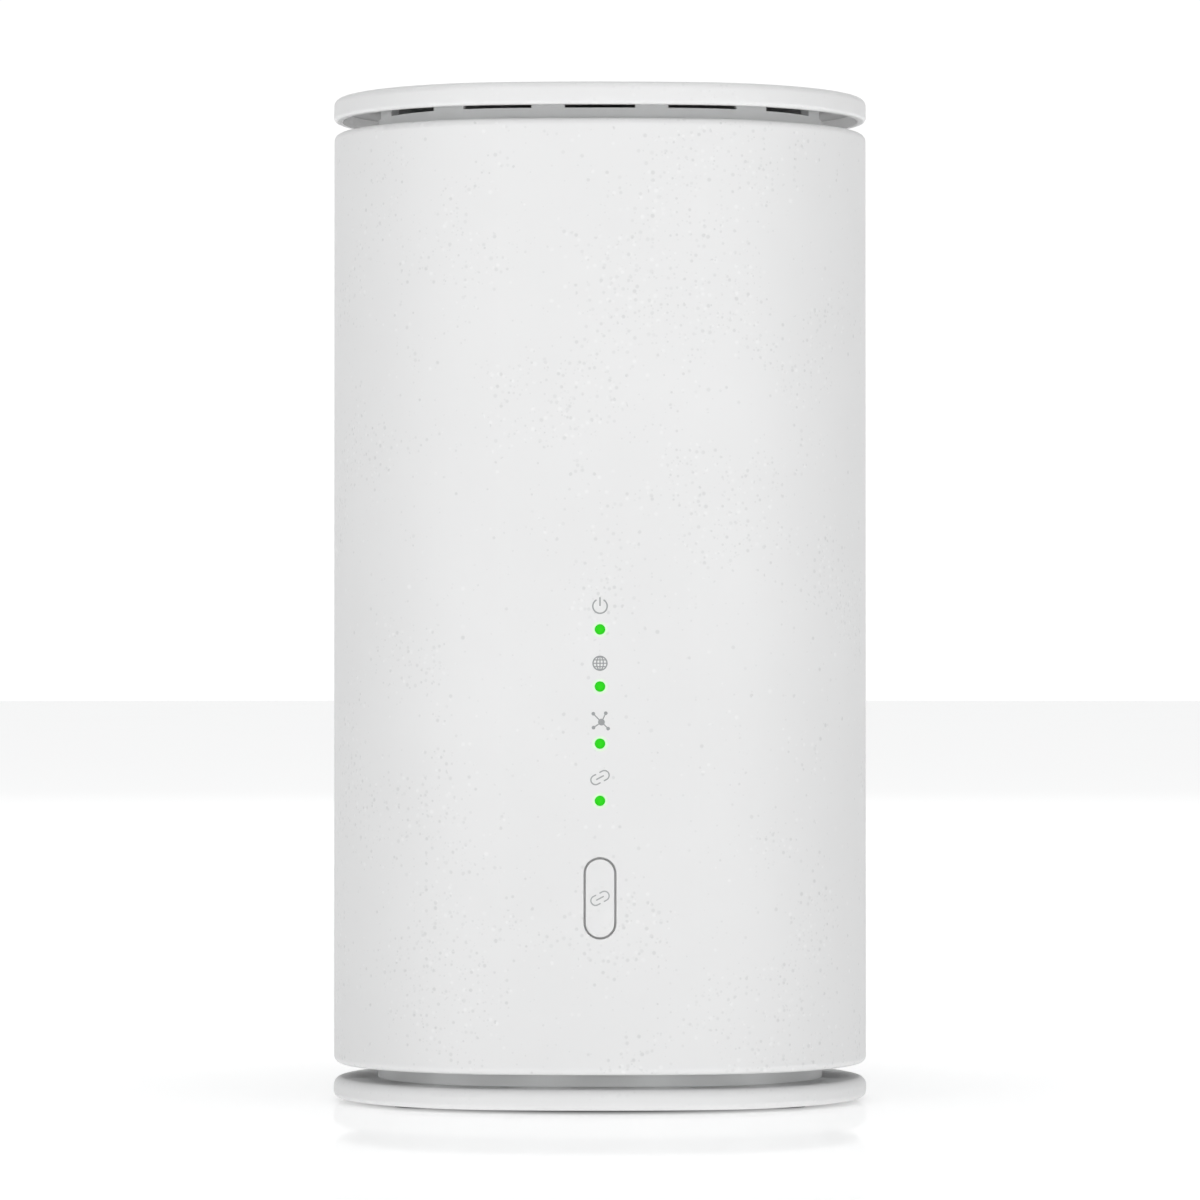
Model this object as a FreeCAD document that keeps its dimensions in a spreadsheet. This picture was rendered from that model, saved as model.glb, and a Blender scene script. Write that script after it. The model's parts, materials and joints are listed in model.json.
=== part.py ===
import FreeCAD, Part
import math
import os
import re

import Sketcher
from FreeCAD import Placement, Rotation, Vector

# Mesh wifi node: a free-standing tower with a floating lid and a floating base plate.
# Millimetres. +Z is up, the front with the lamps and the button faces -Y, and the origin is the
# middle of the footprint on the surface that the feet stand on.

DIMENSIONS = {
    # crowned plan outline: two round ends joined by two shallow faces
    "half_width": 57.5,
    "half_depth": 43.0,
    "end_radius": 42.0,
    "skin_inset": 0.05,
    # levels
    "base_low": 0.8,
    "base_high": 5.2,
    "body_low": 8.2,
    "body_high": 208.4,
    "cap_low": 211.2,
    "cap_high": 216.0,
    # housing walls and edge rounds
    "neck_inset": 9.5,
    "neck_wall": 2.0,
    "neck_flange_inset": 4.0,
    "neck_ear_top": 206.25,
    "shell_wall": 2.0,
    "cap_wall": 1.8,
    "cap_roof": 2.4,
    "cap_top_round": 1.5,
    "cap_low_round": 0.8,
    "body_round": 1.5,
    "base_top_round": 1.8,
    "base_low_round": 1.4,
    "fit_gap": 0.15,
    # vents: windows in the top of the upper neck, and slots in the floor round the lower neck
    "vent_count": 12,
    "vent_length": 14.8,
    "vent_sill": 211.3,
    "floor_slot_inset": 4.2,
    # fasteners and their bosses, one in each quarter of the plan
    "boss_across": 37.5,
    "boss_deep": 18.5,
    "post_across": 32.0,
    "post_deep": 21.0,
    "boss_radius": 3.2,
    "boss_top": 20.0,
    "screw_radius": 1.25,
    "screw_clear": 0.15,
    "head_radius": 2.4,
    "head_height": 1.5,
    "foot_radius": 6.3,
    "foot_height": 1.5,
    # lamps and key on the front
    "lamp_count": 4,
    "lamp_radius": 1.05,
    "lamp_gap": 0.06,
    "lamp_pitch": 11.93,
    "lamp_lowest": 65.54,
    "key_width": 5.9,
    "key_height": 16.2,
    "key_gap": 0.5,
    "key_level": 45.2,
    "key_flange": 1.2,
    # front board and its carrier
    "carrier_half_width": 11.0,
    "carrier_low": 33.0,
    "carrier_high": 112.0,
    "carrier_wall": 1.6,
    "carrier_front": -40.4,
    "front_board_face": -33.4,
    "front_board_thick": 1.0,
    "tact_size": 6.2,
    "tact_height": 3.4,
    "plunger_radius": 1.7,
    "plunger_gap": 0.06,
    # rear bay with the sockets
    "bay_half_width": 31.0,
    "bay_low": 15.0,
    "bay_high": 58.0,
    "bay_round": 4.0,
    "bay_floor": 34.0,
    "panel_wall": 2.0,
    "jack_width": 16.0,
    "jack_height": 13.6,
    "jack_pitch": 17.6,
    "jack_level": 26.5,
    "plug_width": 11.8,
    "plug_height": 6.8,
    "plug_depth": 13.5,
    "dc_across": -14.0,
    "reset_across": 14.0,
    "service_level": 45.5,
    # main board and its frame
    "board_half_width": 35.5,
    "board_low": 14.0,
    "board_high": 176.0,
    "board_front": 13.2,
    "board_thick": 1.6,
    "frame_half_width": 37.0,
    "frame_rail": 7.0,
    "frame_thick": 3.8,
    "frame_top": 204.4,
    "sink_half_width": 27.0,
    "sink_low": 66.0,
    "sink_high": 166.0,
    "fin_thick": 1.4,
    "fin_pitch": 6.4,
    # antennas
    "antenna_plane": 45.6,
    "antenna_width": 14.0,
    "antenna_low": 128.0,
    "antenna_high": 178.0,
    "bracket_wall": 1.5,
    "lead_radius": 0.65,
}

FACE_RADIUS = (
    "((half_width - end_radius)^2 + half_depth^2 - end_radius^2)"
    " / (2 * (half_depth - end_radius))"
)
SIDES = (-1, 1)
QUARTERS = [(across, deep) for across in SIDES for deep in SIDES]

doc = FreeCAD.newDocument("mesh_wifi_node")
sheet = doc.addObject("Spreadsheet::Sheet", "Sheet")
nodes = []


def fill_sheet():
    """Every driving dimension in a cell of its own, with the dimension's name as its alias."""
    for row, (alias, value) in enumerate(DIMENSIONS.items(), start=1):
        sheet.set(f"A{row}", alias)
        sheet.set(f"B{row}", str(value))
        sheet.setAlias(f"B{row}", alias)
    doc.recompute()


def bound(formula):
    """The formula as an expression on the sheet's cells."""
    return re.sub(r"[a-z]\w+", lambda word: f"Sheet.{word.group()}", str(formula))


def size(formula):
    """The formula's value, for geometry that is placed in code."""
    values = {alias: float(sheet.get(alias)) for alias in DIMENSIONS}
    text = re.sub(r"[a-z]\w+", lambda word: str(values[word.group()]), str(formula))
    return FreeCAD.Units.Quantity(text.replace("--", "+")).Value


def keep(label, item):
    """Names a finished piece, which is also the name of its file."""
    item.Label = label
    nodes.append(item)
    return item


# ---------------------------------------------------------------- sketches


def dimension(sketch, formula, *where):
    """A driving constraint whose value is bound to the sheet."""
    index = sketch.addConstraint(Sketcher.Constraint(*where, size(formula)))
    sketch.setExpression(f"Constraints[{index}]", bound(formula))


def crowned_loop(sketch, inset="0"):
    """Four tangent arcs: the plan outline, moved inwards by the inset."""
    centre = size("half_width - end_radius")
    radius = size(f"end_radius - ({inset})")
    far = size(f"{FACE_RADIUS} - half_depth")
    turn = math.pi / 2 - math.atan2(centre, far)

    def arc(x, y, arc_radius, start, end):
        circle = Part.Circle(Vector(x, y, 0), Vector(0, 0, 1), arc_radius)
        return sketch.addGeometry(Part.ArcOfCircle(circle, start, end), False)

    face = size(f"{FACE_RADIUS} - ({inset})")
    right = arc(centre, 0, radius, -turn, turn)
    back = arc(0, -far, face, turn, math.pi - turn)
    left = arc(-centre, 0, radius, math.pi - turn, math.pi + turn)
    front = arc(0, far, face, math.pi + turn, 2 * math.pi - turn)
    loop = [right, back, left, front]
    for first, second in zip(loop, loop[1:] + loop[:1]):
        sketch.addConstraint(Sketcher.Constraint("Tangent", first, 2, second, 1))
    for end, side in ((right, 1), (left, -1)):
        sketch.addConstraint(Sketcher.Constraint("PointOnObject", end, 3, -1))
        dimension(sketch, f"{side} * (half_width - end_radius)", "DistanceX", -1, 1, end, 3)
        dimension(sketch, f"end_radius - ({inset})", "Radius", end)
    for end, side in ((front, 1), (back, -1)):
        dimension(sketch, f"{side} * ({FACE_RADIUS} - half_depth)", "DistanceY", -1, 1, end, 3)


def circle_loop(sketch, x, y, radius):
    """A circle with its centre at (x, y)."""
    centre = Vector(size(x), size(y), 0)
    ring = sketch.addGeometry(Part.Circle(centre, Vector(0, 0, 1), size(radius)), False)
    dimension(sketch, x, "DistanceX", -1, 1, ring, 3)
    dimension(sketch, y, "DistanceY", -1, 1, ring, 3)
    dimension(sketch, radius, "Radius", ring)


def rounded_loop(sketch, half_width, low, high, corner):
    """A rectangle about the Y axis of the sketch, with its four corners rounded."""
    wide, bottom, top, radius = size(half_width), size(low), size(high), size(corner)
    reach = wide - radius
    centres = (
        (reach, top - radius),
        (-reach, top - radius),
        (-reach, bottom + radius),
        (reach, bottom + radius),
    )
    arcs = []
    for turn, (x, y) in enumerate(centres):
        circle = Part.Circle(Vector(x, y, 0), Vector(0, 0, 1), radius)
        start = turn * math.pi / 2
        arcs.append(sketch.addGeometry(Part.ArcOfCircle(circle, start, start + math.pi / 2), False))
    join_with_lines(sketch, arcs)
    across = f"(({half_width}) - ({corner}))"
    upper, lower = f"({high}) - ({corner})", f"({low}) + ({corner})"
    for arc, side, level in zip(arcs, (1, -1, -1), (upper, upper, lower)):
        dimension(sketch, f"{side} * {across}", "DistanceX", -1, 1, arc, 3)
        dimension(sketch, level, "DistanceY", -1, 1, arc, 3)
    dimension(sketch, corner, "Radius", arcs[0])


def pill_loop(sketch, half_width, low, high):
    """An upright pill about the Y axis of the sketch: two half circles and two straight sides."""
    bottom, top, radius = size(low), size(high), size(half_width)
    ends = []
    for start, y in ((0, top - radius), (math.pi, bottom + radius)):
        circle = Part.Circle(Vector(0, y, 0), Vector(0, 0, 1), radius)
        ends.append(sketch.addGeometry(Part.ArcOfCircle(circle, start, start + math.pi), False))
    join_with_lines(sketch, ends)
    for end, level in zip(ends, (f"({high}) - ({half_width})", f"({low}) + ({half_width})")):
        sketch.addConstraint(Sketcher.Constraint("PointOnObject", end, 3, -2))
        dimension(sketch, level, "DistanceY", -1, 1, end, 3)
    dimension(sketch, half_width, "Radius", ends[0])


def join_with_lines(sketch, arcs):
    """A tangent line from the end of each arc to the start of the next."""
    for first, second in zip(arcs, arcs[1:] + arcs[:1]):
        start = sketch.Geometry[first].EndPoint
        end = sketch.Geometry[second].StartPoint
        side = sketch.addGeometry(Part.LineSegment(start, end), False)
        sketch.addConstraint(Sketcher.Constraint("Tangent", first, 2, side, 1))
        sketch.addConstraint(Sketcher.Constraint("Tangent", side, 2, second, 1))


# ---------------------------------------------------------------- PartDesign features


def new_body(name):
    return doc.addObject("PartDesign::Body", name + "_body")


def flat_sketch(body, name, plane, level="0"):
    """A sketch on one of the body's own planes, moved along the plane's normal to the level."""
    sketch = body.newObject("Sketcher::SketchObject", name)
    support = [item for item in body.Origin.OriginFeatures if item.Role == plane][0]
    sketch.AttachmentSupport = [(support, "")]
    sketch.MapMode = "FlatFace"
    sketch.setExpression("AttachmentOffset.Base.z", bound(level))
    return sketch


def pad(body, sketch, length, reverse=False):
    feature = body.newObject("PartDesign::Pad", sketch.Name + "_pad")
    feature.Profile = sketch
    feature.setExpression("Length", bound(length))
    feature.Reversed = reverse
    sketch.Visibility = False
    doc.recompute()
    return feature


def pocket(body, sketch, length, reverse=False):
    """A cut, which has to take material away."""
    before = body.Shape.Volume
    feature = body.newObject("PartDesign::Pocket", sketch.Name + "_pocket")
    feature.Profile = sketch
    feature.setExpression("Length", bound(length))
    feature.Reversed = reverse
    doc.recompute()
    if not body.Shape.Volume < before - 1e-3:
        raise ValueError(f"{sketch.Name} cuts nothing")
    return feature


def round_edges(body, name, level, radius, inset="0"):
    """Rounds the crowned edge at one level."""
    height = size(level)
    radii = (size(f"end_radius - ({inset})"), size(f"{FACE_RADIUS} - ({inset})"))
    tip = body.Tip
    names = []
    for number, edge in enumerate(tip.Shape.Edges, start=1):
        curve = edge.Curve
        flat = edge.BoundBox.ZLength < 1e-4 and abs(edge.BoundBox.ZMin - height) < 1e-4
        if flat and isinstance(curve, Part.Circle) and min(abs(curve.Radius - r) for r in radii) < 1e-4:
            names.append(f"Edge{number}")
    feature = body.newObject("PartDesign::Fillet", name)
    feature.Base = (tip, names)
    feature.setExpression("Radius", bound(radius))
    doc.recompute()
    return feature


# ---------------------------------------------------------------- Part primitives and booleans


def bind_place(item, x, y, z):
    for axis, formula in (("x", x), ("y", y), ("z", z)):
        item.setExpression(f"Placement.Base.{axis}", bound(formula))
    return item


def block(name, x, y, z):
    """A box between the low and high limits given for each axis."""
    item = doc.addObject("Part::Box", name)
    for side, (low, high) in (("Length", x), ("Width", y), ("Height", z)):
        item.setExpression(side, bound(f"({high}) - ({low})"))
    return bind_place(item, x[0], y[0], z[0])


def upright(name, x, y, radius, low, high):
    """A cylinder along Z between two levels."""
    item = doc.addObject("Part::Cylinder", name)
    item.setExpression("Radius", bound(radius))
    item.setExpression("Height", bound(f"({high}) - ({low})"))
    return bind_place(item, x, y, low)


def rod(name, x, z, radius, front, rear):
    """A cylinder along Y from its front end to its rear end."""
    item = doc.addObject("Part::Cylinder", name)
    item.Placement = Placement(Vector(), Rotation(Vector(1, 0, 0), -90))
    item.setExpression("Radius", bound(radius))
    item.setExpression("Height", bound(f"({rear}) - ({front})"))
    return bind_place(item, x, front, z)


def crowned(name, inset, low, high):
    """A solid with the plan outline, moved inwards by the inset, between two levels."""
    sketch = doc.addObject("Sketcher::SketchObject", name + "_outline")
    sketch.setExpression("Placement.Base.z", bound(low))
    crowned_loop(sketch, inset)
    item = doc.addObject("Part::Extrusion", name)
    item.Base = sketch
    item.DirMode = "Normal"
    item.setExpression("LengthFwd", bound(f"({high}) - ({low})"))
    item.Solid = True
    return item


def faced(name, draw, front, rear):
    """A loop drawn in the XZ plane, made solid from its front to its rear."""
    sketch = doc.addObject("Sketcher::SketchObject", name + "_outline")
    sketch.Placement = Placement(Vector(), Rotation(Vector(1, 0, 0), 90))
    sketch.setExpression("Placement.Base.y", bound(rear))
    draw(sketch)
    item = doc.addObject("Part::Extrusion", name)
    item.Base = sketch
    item.DirMode = "Normal"
    item.setExpression("LengthFwd", bound(f"({rear}) - ({front})"))
    item.Solid = True
    return item


def fuse(name, pieces):
    item = doc.addObject("Part::MultiFuse", name)
    item.Shapes = pieces
    item.Refine = True
    return item


def common(name, pieces):
    item = doc.addObject("Part::MultiCommon", name)
    item.Shapes = pieces
    return item


def cut(name, base, tools):
    item = doc.addObject("Part::Cut", name)
    item.Base = base
    item.Tool = tools[0] if len(tools) == 1 else fuse(name + "_tools", tools)
    item.Refine = True
    return item


def group(label, pieces):
    """Identical small pieces that share one node as separate solids."""
    item = doc.addObject("Part::Compound", label + "_group")
    item.Links = pieces
    return keep(label, item)


def quarter_place(across, deep):
    """One of the four places of the base's bosses, feet and screws."""
    return f"{across} * boss_across", f"{deep} * boss_deep"


def post_place(across, deep):
    """One of the four places of the lid's posts and screws, a little inside the base's."""
    return f"{across} * post_across", f"{deep} * post_deep"


# ---------------------------------------------------------------- vent slots


def ring_point(distance, inset):
    """A point on the inset outline at a distance from the front centre, and the outward angle there."""
    centre = size("half_width - end_radius")
    far = size(f"{FACE_RADIUS} - half_depth")
    lean = math.atan2(centre, far)
    face_radius = size(FACE_RADIUS) - inset
    end_radius = size("end_radius") - inset
    face, end = lean * face_radius, (math.pi - 2 * lean) * end_radius
    lap = 4 * face + 2 * end
    distance = (distance + lap / 2) % lap - lap / 2
    side = -1 if distance < 0 else 1
    run = abs(distance)
    if run <= face:
        angle = run / face_radius - math.pi / 2
        x, y = face_radius * math.cos(angle), far + face_radius * math.sin(angle)
    elif run <= face + end:
        angle = lean - math.pi / 2 + (run - face) / end_radius
        x, y = centre + end_radius * math.cos(angle), end_radius * math.sin(angle)
    else:
        angle = math.pi / 2 - (lap / 2 - run) / face_radius
        x, y = face_radius * math.cos(angle), face_radius * math.sin(angle) - far
    if side < 0:
        return -x, y, math.pi - angle
    return x, y, angle


def ring_bars(name, inset, low, high):
    """Evenly spaced bars across the inset outline, the first at the middle of the front. They cut vents."""
    middle = size(inset)
    lean = math.atan2(size("half_width - end_radius"), size(f"{FACE_RADIUS} - half_depth"))
    face, end = size(FACE_RADIUS) - middle, size("end_radius") - middle
    lap = 4 * lean * face + 2 * (math.pi - 2 * lean) * end
    count = int(size("vent_count"))
    reach, length = 2 * size("neck_inset"), size("vent_length")
    bars = []
    for number in range(count):
        x, y, angle = ring_point(number * lap / count, middle)
        turn = Rotation(Vector(0, 0, 1), math.degrees(angle))
        corner = Vector(x, y, size(low)) - turn.multVec(Vector(reach / 2, length / 2, 0))
        bar = doc.addObject("Part::Box", f"{name}_bar")
        bar.Length = reach
        bar.Placement = Placement(corner, turn)
        bar.setExpression("Width", bound("vent_length"))
        bar.setExpression("Height", bound(f"({high}) - ({low})"))
        bars.append(bar)
    return bars


# ---------------------------------------------------------------- lid and upper neck


def make_top_cap():
    """The lid: a shallow tray turned over, open underneath, with posts for the screws that hold it."""
    body = new_body("top_cap")
    outline = flat_sketch(body, "cap_outline", "XY_Plane", "cap_low")
    crowned_loop(outline)
    pad(body, outline, "cap_high - cap_low")
    hollow = flat_sketch(body, "cap_hollow", "XY_Plane", "cap_low")
    crowned_loop(hollow, "cap_wall")
    pocket(body, hollow, "cap_high - cap_low - cap_roof", reverse=True)
    posts = flat_sketch(body, "cap_posts", "XY_Plane", "neck_ear_top + fit_gap")
    pilots = flat_sketch(body, "cap_pilots", "XY_Plane", "neck_ear_top + fit_gap")
    for across, deep in QUARTERS:
        circle_loop(posts, *post_place(across, deep), "boss_radius")
        circle_loop(pilots, *post_place(across, deep), "screw_radius + 0.05")
    pad(body, posts, "cap_high - cap_roof - neck_ear_top - fit_gap")
    pocket(body, pilots, "cap_high - cap_roof - neck_ear_top - fit_gap - 0.5", reverse=True)
    round_edges(body, "cap_top_edge", "cap_high", "cap_top_round")
    round_edges(body, "cap_low_edge", "cap_low", "cap_low_round")
    keep("top_cap", body)


def make_top_neck():
    """The recessed collar that carries the lid. Its top edge is cut into windows, which let warm air
    out under the lid, and its flange lies under the shell's shoulder."""
    low = "neck_ear_top - 1.8"
    wall = crowned("top_neck_wall", "neck_inset", low, "cap_high - cap_roof - 0.05")
    flange = crowned("top_neck_flange", "neck_flange_inset", low, "neck_ear_top")
    bore = crowned("top_neck_bore", "neck_inset + neck_wall", f"{low} - 1", "cap_high")
    ears, holes = [], []
    for across, deep in QUARTERS:
        x, y = post_place(across, deep)
        ears.append(upright("top_neck_ear", x, y, "boss_radius + 1.6", low, "neck_ear_top"))
        holes.append(upright("top_neck_hole", x, y, "screw_radius + screw_clear", f"{low} - 1", "cap_high"))
    windows = ring_bars("top_neck_window", "neck_inset + neck_wall / 2", "vent_sill", "cap_high")
    collar = cut("top_neck_collar", fuse("top_neck_outer", [wall, flange]), [bore] + windows)
    keep("top_neck", cut("top_neck_solid", fuse("top_neck_eared", [collar] + ears), holes))


def make_cap_screws():
    """Screws through the neck's ears into the lid's posts, driven from below."""
    seat = "neck_ear_top - 1.8"
    screws = []
    for across, deep in QUARTERS:
        x, y = post_place(across, deep)
        head = upright("cap_screw_head", x, y, "head_radius", f"{seat} - head_height", seat)
        shank = upright("cap_screw_shank", x, y, "screw_radius", seat, "neck_ear_top + 5")
        screws.append(fuse("cap_screw", [head, shank]))
    group("cap_screws", screws)


# ---------------------------------------------------------------- shell


def make_outer_shell():
    """The sleeve: a closed crowned tube with a shoulder round the upper neck."""
    body = new_body("outer_shell")
    outline = flat_sketch(body, "shell_outline", "XY_Plane", "body_low")
    crowned_loop(outline, "skin_inset")
    pad(body, outline, "body_high - body_low")
    inside = flat_sketch(body, "shell_inside", "XY_Plane", "body_low")
    crowned_loop(inside, "shell_wall")
    pocket(body, inside, "body_high - body_low - shell_wall", reverse=True)
    mouth = flat_sketch(body, "shell_mouth", "XY_Plane", "body_high")
    crowned_loop(mouth, "neck_inset - fit_gap")
    pocket(body, mouth, "shell_wall + 1")
    lamps = flat_sketch(body, "lamp_holes", "XZ_Plane")
    for number in range(int(size("lamp_count"))):
        circle_loop(lamps, "0", f"lamp_lowest + {number} * lamp_pitch", "lamp_radius + lamp_gap")
    pocket(body, lamps, "half_depth + 1", reverse=True)
    key = flat_sketch(body, "key_hole", "XZ_Plane")
    wide, tall = "key_width / 2 + key_gap", "key_height / 2 + key_gap"
    pill_loop(key, wide, f"key_level - ({tall})", f"key_level + {tall}")
    pocket(body, key, "half_depth + 1", reverse=True)
    bay = flat_sketch(body, "bay_hole", "XZ_Plane")
    rounded_loop(bay, "bay_half_width", "bay_low", "bay_high", "bay_round")
    pocket(body, bay, "half_depth + 1")
    round_edges(body, "shell_top_edge", "body_high", "body_round", "skin_inset")
    round_edges(body, "shell_low_edge", "body_low", "body_round", "skin_inset")
    keep("outer_shell", body)


# ---------------------------------------------------------------- base


def make_base_neck():
    """The floor of the body with the recessed collar under it and slots that let cool air in."""
    floor, top = "body_low + 0.4", "body_low + 2.4"
    plate = crowned("floor_plate", "shell_wall + fit_gap", floor, top)
    collar = cut(
        "base_collar",
        crowned("base_collar_wall", "neck_inset", "base_high", floor),
        [crowned("base_collar_bore", "neck_inset + neck_wall", "base_high - 1", "body_high")],
    )
    limits = (floor + " - 1", top + " + 1")
    bosses, pilots, grille = [], [], []
    for across, deep in QUARTERS:
        x, y = quarter_place(across, deep)
        bosses.append(upright("base_boss", x, y, "boss_radius", "base_high", "boss_top"))
        pilots.append(upright("base_pilot", x, y, "screw_radius + 0.05", "base_high - 1", "boss_top - 2"))
    for number in range(-3, 4):
        x = 7 * number
        grille.append(block("floor_grille", (x - 1.5, x + 1.5), ("-26", "-11"), limits))
    band = cut(
        "floor_band",
        crowned("floor_band_outer", "floor_slot_inset", *limits),
        [crowned("floor_band_inner", "neck_inset", *limits)],
    )
    bars = fuse("floor_bars", ring_bars("floor_slot", "(floor_slot_inset + neck_inset) / 2", *limits))
    slots = common("floor_slots", [band, bars])
    whole = fuse("base_neck_whole", [plate, collar] + bosses)
    keep("base_neck", cut("base_neck_solid", whole, pilots + grille + [slots]))


def make_base_plate():
    """The foot plate: a solid crowned plate, recessed for the feet and the screw heads under them."""
    body = new_body("base_plate")
    outline = flat_sketch(body, "base_outline", "XY_Plane", "base_low")
    crowned_loop(outline)
    pad(body, outline, "base_high - base_low")
    for name, radius, depth in (
        ("foot_recess", "foot_radius + fit_gap", "foot_height - base_low"),
        ("head_recess", "head_radius + fit_gap", "foot_height - base_low + head_height + 0.2"),
        ("screw_hole", "screw_radius + screw_clear", "base_high"),
    ):
        sketch = flat_sketch(body, name, "XY_Plane", "base_low")
        for across, deep in QUARTERS:
            circle_loop(sketch, *quarter_place(across, deep), radius)
        pocket(body, sketch, depth, reverse=True)
    round_edges(body, "base_top_edge", "base_high", "base_top_round")
    round_edges(body, "base_low_edge", "base_low", "base_low_round")
    keep("base_plate", body)


def make_feet_and_base_screws():
    feet, screws = [], []
    for across, deep in QUARTERS:
        x, y = quarter_place(across, deep)
        disc = upright("foot_disc", x, y, "foot_radius", "0", "foot_height")
        feet.append(disc)
        seat = "foot_height + head_height + 0.2"
        head = upright("base_screw_head", x, y, "head_radius", "foot_height + 0.2", seat)
        shank = upright("base_screw_shank", x, y, "screw_radius", seat, "boss_top - 5")
        screws.append(fuse("base_screw", [head, shank]))
    group("rubber_feet", feet)
    group("base_screws", screws)


# ---------------------------------------------------------------- front controls


def make_light_pipe():
    """One clear moulding: four round lamp tips on a bar, each over a light source on the board."""
    last = int(size("lamp_count")) - 1
    pieces = [
        block(
            "pipe_bar",
            ("-1.6", "1.6"),
            ("carrier_front + 1.9", "carrier_front + 3.5"),
            ("lamp_lowest - 2.5", f"lamp_lowest + {last} * lamp_pitch + 2.5"),
        )
    ]
    for number in range(last + 1):
        level = f"lamp_lowest + {number} * lamp_pitch"
        pieces.append(rod("pipe_tip", "0", level, "lamp_radius", "-half_depth", "carrier_front + 2"))
        root = ("carrier_front + 3", "front_board_face - 1")
        pieces.append(rod("pipe_root", "0", level, "lamp_radius + 0.4", *root))
    skin = crowned("pipe_skin", "skin_inset", "body_low", "body_high")
    keep("light_pipe", common("light_pipe_solid", [fuse("light_pipe_whole", pieces), skin]))


def make_pairing_button():
    """The key: a pill flush with the shell's skin, a flange that keeps it in, and a stem."""
    def pill(grow):
        half, tall = f"key_width / 2 + {grow}", f"(key_height / 2 + {grow})"
        return lambda sketch: pill_loop(sketch, half, f"key_level - {tall}", f"key_level + {tall}")

    face = faced("key_face", pill("0"), "-half_depth - 1", "carrier_front")
    skin = crowned("key_skin", "skin_inset", "body_low", "body_high")
    flange = faced("key_flange_solid", pill("key_flange"), "carrier_front", "carrier_front + 0.9")
    stem_end = "front_board_face - tact_height - 1.64"
    stem = rod("key_stem", "0", "key_level", "1.5", "carrier_front + 0.5", stem_end)
    keep("pairing_button", fuse("key_solid", [common("key_skinned", [face, skin]), flange, stem]))


def make_front_board():
    """The small board behind the lamps and the key, its switch and its light sources."""
    edge, rear = "carrier_half_width", "front_board_face + front_board_thick"
    tall = ("carrier_low", "carrier_high")
    plate = block("front_board_plate", (f"-{edge}", edge), ("front_board_face", rear), tall)
    holes, screws = [], []
    for level in ("carrier_low + 3.5", "carrier_high - 3.5"):
        hole = rod("front_board_hole", "0", level, "screw_radius + screw_clear", "front_board_face - 1", "0")
        holes.append(hole)
        head = rod("front_screw_head", "0", level, "head_radius", rear, f"{rear} + head_height")
        shank = rod("front_screw_shank", "0", level, "screw_radius", "front_board_face - 3.5", rear)
        screws.append(fuse("front_screw", [head, shank]))
    keep("front_board", cut("front_board_solid", plate, holes))
    group("front_board_screws", screws)
    chips = []
    for number in range(int(size("lamp_count"))):
        level = f"lamp_lowest + {number} * lamp_pitch"
        chips.append(
            block(
                "led_chip",
                ("-0.8", "0.8"),
                ("front_board_face - 0.8", "front_board_face"),
                (f"{level} - 0.6", f"{level} + 0.6"),
            )
        )
    group("led_chips", chips)


def make_tact_switch():
    half, front = "tact_size / 2", "front_board_face - tact_height"
    case = block(
        "tact_case",
        (f"-{half}", half),
        (front, "front_board_face"),
        (f"key_level - {half}", f"key_level + {half}"),
    )
    gap = "plunger_radius + plunger_gap"
    bore = rod("tact_bore", "0", "key_level", gap, f"{front} - 1", f"{front} + 2.6")
    keep("tact_switch", cut("tact_switch_solid", case, [bore]))
    plunger = rod("tact_plunger_rod", "0", "key_level", "plunger_radius", f"{front} - 1.6", f"{front} + 2")
    keep("tact_plunger", plunger)


def make_front_carrier():
    """A frame behind the shell's front that holds the board, the light pipe and the key."""
    edge, low, high = "carrier_half_width", "carrier_low", "carrier_high"
    reach = ("carrier_front", "front_board_face")
    frame = block("carrier_block", (f"-{edge}", edge), reach, (low, high))
    through = ("carrier_front - 1", "front_board_face + 1")
    inner = (f"-{edge} + carrier_wall", f"{edge} - carrier_wall")
    key_top, pipe_low = "key_level + key_height / 2 + 2", "lamp_lowest - 3.5"
    windows = [
        block("carrier_key_window", inner, through, (f"{low} + 7", key_top)),
        block("carrier_pipe_window", inner, through, (pipe_low, f"{high} - 7")),
    ]
    pilots = [
        rod("carrier_pilot", "0", level, "screw_radius + 0.05", "front_board_face - 5", "0")
        for level in (f"{low} + 3.5", f"{high} - 3.5")
    ]
    relief_half = "(key_height / 2 + key_flange + 1.4)"
    relief = block(
        "carrier_flange_relief",
        ("-5", "5"),
        ("carrier_front - 1", "carrier_front + 1.8"),
        (f"key_level - {relief_half}", f"key_level + {relief_half}"),
    )
    keep("front_carrier", cut("front_carrier_solid", frame, windows + pilots + [relief]))


# ---------------------------------------------------------------- rear bay


def jack_positions():
    return [(name, f"{step} * jack_pitch") for name, step in (("left", -1), ("middle", 0), ("right", 1))]


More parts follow.
